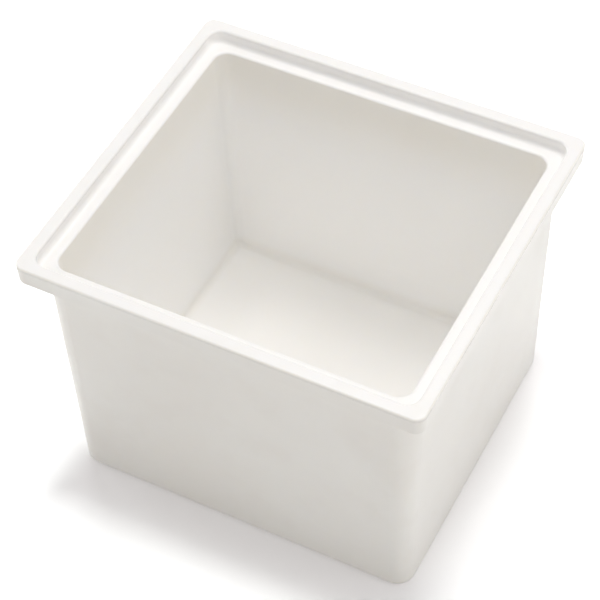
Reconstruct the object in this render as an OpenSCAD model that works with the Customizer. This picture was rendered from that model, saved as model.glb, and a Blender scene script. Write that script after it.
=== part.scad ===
// Wash tub of a resin wash station.
// One thick drafted moulding: an open tank with a floor, a projecting rim and,
// inside the rim's raised lip, a seat for the lid.
// Millimetres, +Z up, origin at the centre of the face that the tub stands on.

/* [Tank] */
// Height of the tub
tub_h = 196; // [100:1:235]
// Thickness of the walls
wall_t = 7; // [5:0.1:12]
// Thickness of the floor
floor_t = 8; // [5:0.1:14]
// Draft of the walls, in degrees from upright
draft = 1.3; // [0.5:0.1:1.5]
// Plan radius of the tank's corners at its mouth
mouth_corner_r = 9; // [8.5:0.5:30]
// Rounding where the lid seat runs over into the tank
mouth_edge_r = 1.5; // [0.4:0.1:2]
// Fillet between the walls and the floor
floor_fillet_r = 4; // [1:0.5:4.5]

/* [Rim] */
// Width over the rim, left to right
rim_w = 264; // [200:1:400]
// Depth over the rim, front to back
rim_d = 240; // [180:1:400]
// Height of the rim's outer face
rim_h = 14; // [12:0.5:24]
// Draft of the rim's outer face, in degrees from upright
rim_draft = 3; // [0.5:0.5:5]
// Plan radius of the rim's outer corners
rim_corner_r = 7; // [3:0.5:15]
// Rounding along the rim's outer edges
rim_edge_r = 1.2; // [0.4:0.1:2]
// Fillet between the rim's underside and the wall
under_rim_r = 2; // [0.5:0.1:3]

/* [Lid seat] */
// Width of the raised lip round the seat
lip_w = 8.4; // [5:0.1:12]
// Depth of the seat below the top of the lip
seat_depth = 8.5; // [5:0.1:9]
// Width of the seat, from the lip to the tank's wall
seat_w = 8.6; // [7:0.1:16]
// Plan radius of the corners inside the lip
seat_corner_r = 8.5; // [5:0.5:15]
// Rounding along the lip's inner top edge
lip_edge_r = 1.4; // [0.4:0.1:2]
// Fillet at the foot of the lip
seat_fillet_r = 3; // [0.5:0.1:4]

/* [Underside] */
// Rounding round the bottom edge
foot_edge_r = 1.5; // [0.4:0.1:3]
// How far the band that the tub stands on reaches in past the wall
foot_band_in = 3; // [0:0.5:4]
// Depth of the shallow panel inside that band
panel_depth = 1.2; // [0.5:0.1:2]

/* [Hidden] */
$fn = 96;

taper = tan(draft);
rim_z = tub_h - rim_h;
seat_z = tub_h - seat_depth;
// Overshoot of a cut past the face that it opens
over = 5;
// How far an arc crosses a leaning edge that it rounds off
lean_overlap = 0.01;

// The tank and the outer wall turn about the same corner centres, so the wall
// keeps its thickness round the corners while both radii grow with height.
corner_x = rim_w / 2 - lip_w - seat_w - mouth_corner_r;
corner_y = rim_d / 2 - lip_w - seat_w - mouth_corner_r;

// Plan radius at height z of the tank's corners and of the outer wall's
function tank_r(z) = mouth_corner_r - (seat_z - z) * taper;
function wall_r(z) = tank_r(z) + wall_t;

function unit(v) = v / norm(v);

// Distance of an arc's centre from an edge that it rounds off. It is a little
// under the radius where the edge leans, so that the arc crosses that edge at a
// definite point instead of grazing it.
function reach(edge, r) = edge.x * edge.y == 0 ? r : r - lean_overlap;

// The arc at a corner [x, y, radius] between the corners before and after it:
// [its start, its end, its centre, whether the outline turns outward there]
function corner_arc(before, corner, after) =
    let (
        point = [corner.x, corner.y],
        back = unit([before.x, before.y] - point),
        on = unit([after.x, after.y] - point),
        turn = cross(on, back),
        along_back = reach(on, corner.z) / abs(turn),
        along_on = reach(back, corner.z) / abs(turn)
    )
    corner.z == 0 ? [point, point, point, true] : [
        point + back * (along_back + along_on * (back * on)),
        point + on * (along_on + along_back * (back * on)),
        point + back * along_back + on * along_on,
        turn > 0
    ];

// Closed anticlockwise outline through corners [x, y, radius], right of x = 0.
// Each rounded corner is bevelled from its arc's start to its end, and the arc's
// disc then fills the bevel of a corner that turns outward, or hollows one that
// doesn't.
module rounded_outline(corners) {
    last = len(corners) - 1;
    arcs = [for (i = [0:last])
        corner_arc(corners[i == 0 ? last : i - 1], corners[i], corners[i == last ? 0 : i + 1])];
    outward = [for (i = [0:last]) if (corners[i].z > 0 && arcs[i][3]) i];
    inward = [for (i = [0:last]) if (!arcs[i][3]) i];
    difference() {
        intersection() {
            union() {
                polygon([for (arc = arcs) each [arc[0], arc[1]]]);
                for (i = outward) translate(arcs[i][2]) circle(corners[i].z);
            }
            translate([0, -2 * tub_h]) square(4 * tub_h);
        }
        for (i = inward) translate(arcs[i][2]) circle(corners[i].z);
    }
}

// Solid block from z_low to z_high whose side is the half section given as the
// child, carried round a rectangle: quarter turns about its corners, straight
// runs between them. The section's x is measured outward from the rectangle.
module carried_round(half_x, half_y, z_low, z_high) {
    translate([-half_x, -half_y, z_low]) cube([2 * half_x, 2 * half_y, z_high - z_low]);
    for (side = [0:3]) {
        out = side % 2 == 0 ? half_x : half_y;
        along = side % 2 == 0 ? half_y : half_x;
        rotate(90 * side) translate([out, along, 0]) {
            rotate_extrude(angle = 90) children();
            rotate([90, 0, 0]) linear_extrude(2 * along) children();
        }
    }
}

// Outer wall from the foot up into the rim, with the fillet below the rim
module wall_block() {
    top_z = (rim_z + seat_z) / 2;
    ledge_r = wall_r(rim_z) + 2 * under_rim_r;
    carried_round(corner_x, corner_y, 0, top_z)
        rounded_outline([
            [0, 0, 0],
            [wall_r(0), 0, foot_edge_r],
            [wall_r(rim_z), rim_z, under_rim_r],
            [ledge_r, rim_z, 0],
            [ledge_r, top_z, 0],
            [0, top_z, 0],
        ]);
}

// Slab of the rim, out to its outer face, which leans in towards its lower edge
module rim_block() {
    low_r = rim_corner_r - rim_h * tan(rim_draft);
    carried_round(rim_w / 2 - rim_corner_r, rim_d / 2 - rim_corner_r, rim_z, tub_h)
        rounded_outline([
            [0, rim_z, 0],
            [low_r, rim_z, rim_edge_r],
            [rim_corner_r, tub_h, rim_edge_r],
            [0, tub_h, 0],
        ]);
}

// Room for the lid, inside the lip and down to the seat
module lid_room() {
    inset = lip_w + seat_corner_r;
    carried_round(rim_w / 2 - inset, rim_d / 2 - inset, seat_z, tub_h + over)
        rounded_outline([
            [0, seat_z, 0],
            [seat_corner_r, seat_z, seat_fillet_r],
            [seat_corner_r, tub_h, lip_edge_r],
            [seat_corner_r + over, tub_h, 0],
            [seat_corner_r + over, tub_h + over, 0],
            [0, tub_h + over, 0],
        ]);
}

// Room inside the tank, from its floor up through the seat
module tank_room() {
    flare_r = tank_r(seat_z) + 2 * mouth_edge_r;
    carried_round(corner_x, corner_y, floor_t, tub_h)
        rounded_outline([
            [0, floor_t, 0],
            [tank_r(floor_t), floor_t, floor_fillet_r],
            [tank_r(seat_z), seat_z, mouth_edge_r],
            [flare_r, seat_z, 0],
            [flare_r, tub_h, 0],
            [0, tub_h, 0],
        ]);
}

// Shallow panel under the floor, inside the band that the tub stands on. It is
// drawn opening upward like the other rooms, and turned over.
module panel_room() {
    panel_r = tank_r(0) - foot_band_in;
    mirror([0, 0, 1])
        carried_round(corner_x, corner_y, -panel_depth, over)
            rounded_outline([
                [0, -panel_depth, 0],
                [panel_r, -panel_depth, panel_depth / 2],
                [panel_r, over, 0],
                [0, over, 0],
            ]);
}

module tub() {
    color("whitesmoke")
    difference() {
        union() {
            wall_block();
            rim_block();
        }
        lid_room();
        tank_room();
        panel_room();
    }
}

tub();
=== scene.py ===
import math

import bpy
import numpy as np
from mathutils import Matrix, Vector


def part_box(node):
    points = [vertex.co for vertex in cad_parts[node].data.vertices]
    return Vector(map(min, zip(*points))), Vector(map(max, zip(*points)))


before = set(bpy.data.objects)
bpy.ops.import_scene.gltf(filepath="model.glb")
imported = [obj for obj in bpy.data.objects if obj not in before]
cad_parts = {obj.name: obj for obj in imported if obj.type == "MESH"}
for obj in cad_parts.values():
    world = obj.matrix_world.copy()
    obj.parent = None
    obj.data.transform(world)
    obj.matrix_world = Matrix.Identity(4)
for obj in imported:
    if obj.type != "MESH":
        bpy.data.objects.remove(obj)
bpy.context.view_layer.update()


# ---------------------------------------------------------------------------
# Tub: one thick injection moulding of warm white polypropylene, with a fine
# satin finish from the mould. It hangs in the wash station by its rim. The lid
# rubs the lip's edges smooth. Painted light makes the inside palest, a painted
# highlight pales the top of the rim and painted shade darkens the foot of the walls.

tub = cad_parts["tub"]
tub_low, tub_high = (np.array(corner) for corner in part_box("tub"))
rim_width, rim_depth, tub_height = tub_high - tub_low
rim_corner = 0.007
lip_width = 0.0084
lip_corner = 0.0085
seat_depth = 0.0085
seat_height = tub_height - seat_depth
tank_inset = 0.017
mouth_corner = 0.009
wall_thickness = 0.007
wall_draft_degrees = 1.3
wall_slope = math.tan(math.radians(wall_draft_degrees))
floor_thickness = 0.008

plain_colours = (0.926, 0.900, 0.853, 1.0), (0.948, 0.927, 0.886, 1.0)
# Painted light: paler, more neutral colours for the inside of the tank.
painted_light_inside_colours = (0.960, 0.956, 0.947, 1.0), (0.974, 0.971, 0.964, 1.0)
# Painted highlight: the paler, more neutral colour of the rim's top.
painted_highlight_colour = (0.962, 0.953, 0.942, 1.0)
handled_colour = (0.84, 0.800, 0.745, 1.0)
# Painted shade: the darker colour at the foot of the tank's walls.
wall_foot_shade_colour = (0.86, 0.835, 0.790, 1.0)

# How many of each kind of mark lie in a metre.
flow_marks_per_metre = 9.0
smudges_per_metre = 34.0
drag_lines_per_metre = 620.0
mould_grains_per_metre = 1400.0
scratches_per_metre = 1500.0

# Roughness of the satin finish, and what each mark adds to it.
satin_roughness = 0.27, 0.33
drag_line_roughness = 0.03
rubbed_roughness = -0.08
handled_roughness = 0.07
scratch_roughness = 0.10

# Relief in metres: the grain is a few thousandths of a millimetre deep and worn down on rubbed edges.
grain_relief = 0.000007
rubbed_relief = -0.000004
drag_line_relief = 0.000002
scratch_relief = -0.000002

# How strongly each mark tints the plastic.
# Strength of the painted shade at the foot of the tank's walls.
wall_foot_shade_strength = 0.5
handled_strength = 0.5
scratch_strength = 0.25
handling_away_from_foot = 0.35

tub_plastic = bpy.data.materials.new("tub_plastic")
tub_plastic.use_nodes = True
plastic_tree = tub_plastic.node_tree
plastic = plastic_tree.nodes["Principled BSDF"]
plastic.inputs["IOR"].default_value = 1.49
plastic.inputs["Subsurface Weight"].default_value = 0.20
plastic.inputs["Subsurface Radius"].default_value = (1.0, 0.9, 0.75)
plastic.inputs["Subsurface Scale"].default_value = 0.002


def add_node(tree, kind, **settings):
    """A node of that kind, with each setting given to the input of that name."""
    node = tree.nodes.new(kind)
    for name, value in settings.items():
        node.inputs[name.replace("_", " ")].default_value = value
    return node


def reckon(tree, operation, *values):
    """Result of a sum done on numbers or on the outputs of other nodes."""
    node = tree.nodes.new("ShaderNodeMath")
    node.operation = operation
    for slot, value in zip(node.inputs, values):
        if isinstance(value, bpy.types.NodeSocket):
            tree.links.new(value, slot)
        else:
            slot.default_value = value
    return node.outputs["Value"]


def fade(tree, value, start, end, low=0.0, high=1.0):
    """Goes smoothly from low to high while the value goes from start to end."""
    node = add_node(tree, "ShaderNodeMapRange", From_Min=start, From_Max=end, To_Min=low, To_Max=high)
    node.interpolation_type = "SMOOTHSTEP"
    tree.links.new(value, node.inputs["Value"])
    return node.outputs["Result"]


def speckle(tree, place, grains_per_metre, layers=2.0):
    """Cloudy pattern, 0 to 1 about a mean of 0.5, with that many grains to the metre."""
    node = add_node(tree, "ShaderNodeTexNoise", Scale=grains_per_metre, Detail=layers, Roughness=0.5)
    tree.links.new(place, node.inputs["Vector"])
    return node.outputs["Fac"]


def drawn_out(tree, place, stretch, turn=0.0):
    """The place turned about Z and scaled along each axis, so that a pattern read there is drawn out."""
    node = add_node(tree, "ShaderNodeMapping", Scale=stretch, Rotation=(0.0, 0.0, turn))
    tree.links.new(place, node.inputs["Vector"])
    return node.outputs["Vector"]


def blend(tree, amount, first, second):
    """Colour part way from first to second; either is a colour or a node's output."""
    node = tree.nodes.new("ShaderNodeMix")
    node.data_type = "RGBA"
    tree.links.new(amount, node.inputs["Factor"])
    for slot, colour in (("A", first), ("B", second)):
        if isinstance(colour, bpy.types.NodeSocket):
            tree.links.new(colour, node.inputs[slot])
        else:
            node.inputs[slot].default_value = colour
    return node.outputs["Result"]


place = plastic_tree.nodes.new("ShaderNodeTexCoord").outputs["Object"]
axes = plastic_tree.nodes.new("ShaderNodeSeparateXYZ")
plastic_tree.links.new(place, axes.inputs["Vector"])
height = axes.outputs["Z"]


def out_from(tree, axes, half_x, half_y, radius):
    """Distance out from an upright rounded rectangle about Z.

    It is the distance past the centre of the nearest corner's circle, less that circle's radius.
    Well inside, where neither X nor Y is past the centre, it stays at minus the radius.
    """
    past_corner_centres = []
    for axis, half in (("X", half_x), ("Y", half_y)):
        from_middle = reckon(tree, "ABSOLUTE", axes.outputs[axis])
        past_centre = reckon(tree, "SUBTRACT", from_middle, half - radius)
        past_corner_centres.append(reckon(tree, "MAXIMUM", past_centre, 0.0))
    along_x, along_y = past_corner_centres
    squares = reckon(tree, "MULTIPLY_ADD", along_x, along_x, reckon(tree, "MULTIPLY", along_y, along_y))
    return reckon(tree, "SUBTRACT", reckon(tree, "SQRT", squares), radius)


past_rim, past_lip, past_mouth = (
    out_from(plastic_tree, axes, rim_width / 2 - inset, rim_depth / 2 - inset, radius)
    for inset, radius in ((0.0, rim_corner), (lip_width, lip_corner), (tank_inset, mouth_corner))
)

# Inside of the tank, painted paler as painted light up to a little below the seat.
wall_lean = reckon(plastic_tree, "MULTIPLY_ADD", height, -wall_slope, seat_height * wall_slope)
past_tank = reckon(plastic_tree, "ADD", past_mouth, wall_lean)
within_walls = fade(plastic_tree, past_tank, 0.6 * wall_thickness, 0.1 * wall_thickness)
over_floor = fade(plastic_tree, height, 0.4 * floor_thickness, 0.6 * floor_thickness)
inside = reckon(plastic_tree, "MULTIPLY", within_walls, over_floor)
outside = reckon(plastic_tree, "SUBTRACT", 1.0, inside)
below_seat = fade(plastic_tree, height, seat_height - 0.010, seat_height - 0.060)
painted_light_inside = reckon(plastic_tree, "MULTIPLY", inside, below_seat)

# Painted shade along the foot of the tank's walls, in the crease with the floor.
near_floor = fade(plastic_tree, height, 0.020, 0.008)
near_wall = fade(plastic_tree, past_tank, -0.009, -0.002)
at_wall_foot = reckon(plastic_tree, "MULTIPLY", near_floor, near_wall)
inside_wall_foot = reckon(plastic_tree, "MULTIPLY", at_wall_foot, inside)
painted_wall_foot_shade = reckon(plastic_tree, "MULTIPLY", inside_wall_foot, wall_foot_shade_strength)

# Painted highlight on the top of the rim, paler and more neutral: the seat, the lip's inner face and the
# lip's top.
over_seat = fade(plastic_tree, height, seat_height - 0.0016, seat_height - 0.0006)
within_rim = fade(plastic_tree, past_rim, -0.0003, -0.0013)
painted_highlight_on_top = reckon(plastic_tree, "MULTIPLY", over_seat, within_rim)

# Rubbed edges: both edges of the lip, along its top.
near_outer_edge = fade(plastic_tree, reckon(plastic_tree, "ABSOLUTE", past_rim), 0.0020, 0.0006)
near_inner_edge = fade(plastic_tree, reckon(plastic_tree, "ABSOLUTE", past_lip), 0.0022, 0.0006)
near_top = fade(plastic_tree, height, tub_height - 0.0040, tub_height - 0.0012)
near_edge = reckon(plastic_tree, "MAXIMUM", near_outer_edge, near_inner_edge)
rubbed = reckon(plastic_tree, "MULTIPLY", near_edge, near_top)

# Scuffs from handling: faint all over the outside, stronger on the last few millimetres of the foot.
smudges = fade(plastic_tree, speckle(plastic_tree, place, smudges_per_metre, layers=4.0), 0.45, 0.72)
near_foot = fade(plastic_tree, height, 0.007, 0.0005)
handling = reckon(plastic_tree, "MAXIMUM", near_foot, handling_away_from_foot)
handled = reckon(plastic_tree, "MULTIPLY", reckon(plastic_tree, "MULTIPLY", handling, smudges), outside)

# Marks of the mould: broad flow marks, fine grain, and drag lines up the walls from drawing the part.
flow_marks = fade(plastic_tree, speckle(plastic_tree, place, flow_marks_per_metre), 0.3, 0.7)
mould_grain = speckle(plastic_tree, place, mould_grains_per_metre, layers=3.0)
drag_lines = speckle(plastic_tree, drawn_out(plastic_tree, place, (1.0, 1.0, 0.02)), drag_lines_per_metre)

# Hair scratches on the outside, in two directions.
scratches_each_way = []
for stretch, turn in (((0.03, 1.0, 1.0), 0.2), ((1.0, 0.03, 1.0), -0.15)):
    streaks = speckle(plastic_tree, drawn_out(plastic_tree, place, stretch, turn), scratches_per_metre)
    scratches_each_way.append(fade(plastic_tree, streaks, 0.66, 0.76))
scratches_crossed = reckon(plastic_tree, "MAXIMUM", *scratches_each_way)
scratches = reckon(plastic_tree, "MULTIPLY", scratches_crossed, outside)

plain_tint = blend(plastic_tree, flow_marks, *plain_colours)
painted_light_inside_tint = blend(plastic_tree, flow_marks, *painted_light_inside_colours)
# Painted light: the inside of the tank is painted paler than the outside.
tint = blend(plastic_tree, painted_light_inside, plain_tint, painted_light_inside_tint)
# Painted shade at the foot of the tank's walls.
tint = blend(plastic_tree, painted_wall_foot_shade, tint, wall_foot_shade_colour)
# Painted highlight on the top of the rim.
tint = blend(plastic_tree, painted_highlight_on_top, tint, painted_highlight_colour)
for mark, strength in ((handled, handled_strength), (scratches, scratch_strength)):
    tint = blend(plastic_tree, reckon(plastic_tree, "MULTIPLY", mark, strength), tint, handled_colour)
plastic_tree.links.new(tint, plastic.inputs["Base Color"])

roughness = fade(plastic_tree, mould_grain, 0.3, 0.7, *satin_roughness)
for mark, added in (
    (drag_lines, drag_line_roughness),
    (rubbed, rubbed_roughness),
    (handled, handled_roughness),
    (scratches, scratch_roughness),
):
    roughness = reckon(plastic_tree, "MULTIPLY_ADD", mark, added, roughness)
plastic_tree.links.new(roughness, plastic.inputs["Roughness"])

grain_depth = reckon(plastic_tree, "MULTIPLY_ADD", rubbed, rubbed_relief, grain_relief)
relief = reckon(plastic_tree, "MULTIPLY", mould_grain, grain_depth)
relief = reckon(plastic_tree, "MULTIPLY_ADD", drag_lines, drag_line_relief, relief)
relief = reckon(plastic_tree, "MULTIPLY_ADD", scratches, scratch_relief, relief)
surface_relief = add_node(plastic_tree, "ShaderNodeBump", Strength=1.0, Distance=1.0)
plastic_tree.links.new(relief, surface_relief.inputs["Height"])
plastic_tree.links.new(surface_relief.outputs["Normal"], plastic.inputs["Normal"])

for slot in tub.material_slots:
    slot.material = tub_plastic


# ---------------------------------------------------------------------------
# Bench: a wide matt white sheet that the tub stands on. It is a flat disc of
# rings and spokes.

bench_radius = 6.0
bench_rings, bench_spokes = 8, 64


def disc(radius, rings, spokes, height):
    """Flat disc about the Z axis: ring i has i/rings of the radius, spoke j is j/spokes of a turn round.

    Four-sided faces join each ring to the next, and three-sided ones join the first ring to the middle.
    """
    reach, turn = np.meshgrid(
        np.linspace(0.0, radius, rings + 1)[1:],
        np.linspace(0.0, 2.0 * math.pi, spokes, endpoint=False),
        indexing="ij",
    )
    across, back, up = reach * np.cos(turn), reach * np.sin(turn), np.full_like(reach, height)
    circle_points = np.stack([across, back, up], axis=-1).reshape(-1, 3)
    points = np.vstack([[[0.0, 0.0, height]], circle_points])
    ring, spoke = np.meshgrid(np.arange(rings - 1), np.arange(spokes), indexing="ij")
    near = 1 + ring * spokes + spoke
    near_next = 1 + ring * spokes + (spoke + 1) % spokes
    quads = np.stack([near, near + spokes, near_next + spokes, near_next], axis=-1).reshape(-1, 4)
    spoke = np.arange(spokes)
    middle = np.stack([np.zeros_like(spoke), 1 + spoke, 1 + (spoke + 1) % spokes], axis=-1)
    return points, middle.tolist() + quads.tolist()


bench_mesh = bpy.data.meshes.new("bench")
bench_points, bench_faces = disc(bench_radius, bench_rings, bench_spokes, tub_low[2])
bench_mesh.from_pydata(bench_points.tolist(), [], bench_faces)
bench = bpy.data.objects.new("bench", bench_mesh)
bpy.context.scene.collection.objects.link(bench)

bench_paper = bpy.data.materials.new("bench_paper")
bench_paper.use_nodes = True
paper_tree = bench_paper.node_tree
paper = paper_tree.nodes["Principled BSDF"]
paper.inputs["Roughness"].default_value = 0.9
paper.inputs["Specular IOR Level"].default_value = 0.0


def seen(tree):
    """1 for what is seen directly, in a reflection or through something, and 0 for scattered light."""
    rays = tree.nodes.new("ShaderNodeLightPath").outputs
    direct_or_mirrored = reckon(tree, "ADD", rays["Is Camera Ray"], rays["Is Glossy Ray"])
    return reckon(tree, "ADD", direct_or_mirrored, rays["Is Transmission Ray"])


# The sheet is white to look at, with painted shadow close to the foot that deepens the tub's shadow,
# least of all on its left.
# For scattered light it is a plain pale grey.
painted_shadow_colour = (1.13, 1.12, 1.145, 1.0)
further_out_colour = (1.65, 1.69, 1.72, 1.0)
scattering_colour = (0.8, 0.8, 0.8, 1.0)
white = (1.0, 1.0, 1.0, 1.0)
foot_half_x, foot_half_y, foot_corner = 0.1178, 0.1058, 0.012

paper_place = paper_tree.nodes.new("ShaderNodeTexCoord").outputs["Object"]
paper_axes = paper_tree.nodes.new("ShaderNodeSeparateXYZ")
paper_tree.links.new(paper_place, paper_axes.inputs["Vector"])
to_the_right = paper_axes.outputs["X"]
to_the_left = reckon(paper_tree, "MULTIPLY", to_the_right, -1.0)
from_foot = out_from(paper_tree, paper_axes, foot_half_x, foot_half_y, foot_corner)

# Painted shadow: it fades out with distance from the foot, and sooner to the sides.
clear_of_foot = fade(paper_tree, from_foot, 0.014, 0.052, 0.0, 0.72)
left_of_foot = fade(paper_tree, to_the_left, 0.105, 0.138)
right_of_foot = fade(paper_tree, to_the_right, 0.108, 0.138, 0.0, 0.33)
beside_foot = reckon(paper_tree, "MAXIMUM", left_of_foot, right_of_foot)
clearance = reckon(paper_tree, "MAXIMUM", clear_of_foot, beside_foot)
seen_colour = blend(paper_tree, clearance, painted_shadow_colour, further_out_colour)
paper_colour = blend(paper_tree, seen(paper_tree), scattering_colour, seen_colour)
paper_tree.links.new(paper_colour, paper.inputs["Base Color"])

# Far off, where little lamp light reaches, the sheet runs out into the white of the room.
far_off = reckon(paper_tree, "MULTIPLY", fade(paper_tree, from_foot, 0.35, 1.2), seen(paper_tree))
paper.inputs["Emission Color"].default_value = white
paper_tree.links.new(far_off, paper.inputs["Emission Strength"])
bench.data.materials.append(bench_paper)


# ---------------------------------------------------------------------------
# Light: small soft lamps above the tub and a little behind it, and broad weak
# lamps on both sides and in front that open up the walls.

lamp_colour = (1.0, 0.988, 0.977)
lamps_face = Vector((0.0, 0.0, 0.1))


def soft_lamp(name, spot, size, watts):
    """Square lamp of that size at a spot, turned to face the middle of the tub."""
    data = bpy.data.lights.new(name, "AREA")
    data.shape = "SQUARE"
    data.size = size
    data.energy = watts
    data.color = lamp_colour
    lamp = bpy.data.objects.new(name, data)
    bpy.context.scene.collection.objects.link(lamp)
    lamp.location = spot
    lamp.rotation_mode = "QUATERNION"
    lamp.rotation_quaternion = (lamps_face - Vector(spot)).to_track_quat("-Z", "Y")


for lamp_name, lamp_spot, lamp_size, lamp_watts in (
    ("overhead_lamp", (0.0, 0.15, 2.3), 0.3, 7.7),
    ("overhead_left_lamp", (-0.6, 0.5, 2.2), 0.3, 4.0),
    ("overhead_right_lamp", (0.6, 0.5, 2.2), 0.3, 2.0),
    ("overhead_back_lamp", (0.0, 0.9, 2.2), 0.6, 11.4),
    ("right_high_lamp", (1.8, 0.3, 1.5), 1.2, 4.7),
    ("right_low_lamp", (2.2, 0.3, 0.5), 1.2, 6.4),
    ("left_low_lamp", (-2.2, 0.3, 0.5), 1.2, 15.8),
    ("front_lamp", (0.3, -1.8, 1.4), 1.2, 4.6),
    ("front_low_lamp", (0.3, -2.2, 0.22), 0.4, 3.0),
    ("front_left_lamp", (-1.3, -1.9, 0.9), 1.2, 1.0),
):
    soft_lamp(lamp_name, lamp_spot, lamp_size, lamp_watts)

# Light that falls into a pale tub is thrown from wall to wall many times before it comes out.
# With fewer throws the inside would be far too dark for the light on the rim.
bpy.context.scene.cycles.diffuse_bounces = 12

room = bpy.data.worlds.new("room")
bpy.context.scene.world = room
room.use_nodes = True
room_tree = room.node_tree
room_light = room_tree.nodes["Background"]
# The room is white to look at and gives a weak even light.
ambient_colour = (0.318, 0.312, 0.304, 1.0)
room_colour = blend(room_tree, seen(room_tree), ambient_colour, white)
room_tree.links.new(room_colour, room_light.inputs["Color"])


# ---------------------------------------------------------------------------
# Camera: in front of the tub, to the right and high up, looking down into it
# through a long lens.

camera_data = bpy.data.cameras.new("camera")
camera_data.sensor_width = 36.0
camera_data.lens = 121.23
camera = bpy.data.objects.new("camera", camera_data)
bpy.context.scene.collection.objects.link(camera)
bpy.context.scene.camera = camera
camera_roll, camera_tilt, camera_turn = -0.04127, -0.70629, -0.44796
camera_spot_in_rim_widths = 1.510963, -2.741328, 4.064392


def turn_about(axis, angle):
    """Matrix that turns a direction about one axis by an angle in radians."""
    return np.array(Matrix.Rotation(angle, 3, axis))


camera_axes = turn_about("Y", camera_roll) @ turn_about("X", camera_tilt) @ turn_about("Z", camera_turn)
camera_matrix = np.eye(4)
camera_matrix[:3, :3] = camera_axes.T
camera_matrix[:3, 3] = rim_width * np.array(camera_spot_in_rim_widths)
camera.matrix_world = Matrix(camera_matrix.tolist())

bpy.context.scene.view_settings.view_transform = "Standard"
